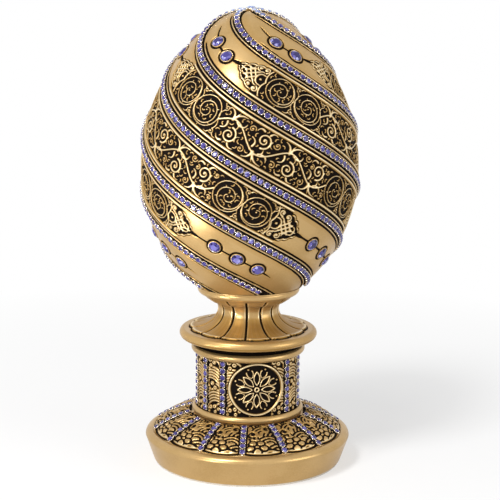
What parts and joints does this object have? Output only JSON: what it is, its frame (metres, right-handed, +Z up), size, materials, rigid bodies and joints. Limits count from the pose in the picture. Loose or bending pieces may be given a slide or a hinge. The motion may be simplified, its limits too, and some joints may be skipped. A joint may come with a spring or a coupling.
{
  "type": "decorative egg on stand",
  "caption": "Gold-finished ornamental egg with spiral rows of violet stones and carved bands, on a fluted neck, drum and domed foot.",
  "frame": {"origin": "centre of the pad's underside, on the surface that the object stands on", "axes": "+Z up along the axis of the egg and stand, -Y towards the front"},
  "size_m": [0.0916, 0.0926, 0.1912],
  "materials": {
    "gold_casting": "cast resin with a satin gold finish and dark patina in the recesses",
    "chain_metal": "bright gold plate",
    "violet_stone": "cut glass, violet blue",
    "pale_stone": "cut glass, pale icy blue",
    "insert_brass": "turned",
    "rod_steel": "zinc plated",
    "felt": "pressed felt"
  },
  "bodies": {
    "root": {"crown_cup": "chain_metal", "crown_stone": "pale_stone", "drum": "gold_casting", "drum_row_cups": "chain_metal", "drum_row_stones": "violet_stone", "egg_insert": "insert_brass", "egg_lower_stones": "violet_stone", "egg_row_cups_1": "chain_metal", "egg_row_cups_2": "chain_metal", "egg_row_cups_3": "chain_metal", "egg_row_cups_4": "chain_metal", "egg_row_cups_5": "chain_metal", "egg_row_cups_6": "chain_metal", "egg_row_stones_1": "violet_stone", "egg_row_stones_2": "violet_stone", "egg_row_stones_3": "violet_stone", "egg_row_stones_4": "violet_stone", "egg_row_stones_5": "violet_stone", "egg_row_stones_6": "violet_stone", "egg_shell": "gold_casting", "egg_upper_stones": "violet_stone", "felt_pad": "felt", "foot": "gold_casting", "foot_row_cups": "chain_metal", "foot_row_stones": "violet_stone", "medallion": "gold_casting", "neck": "gold_casting", "rod_nut": "rod_steel", "rod_washer": "rod_steel", "tie_rod": "rod_steel"}
  },
  "joints": []
}
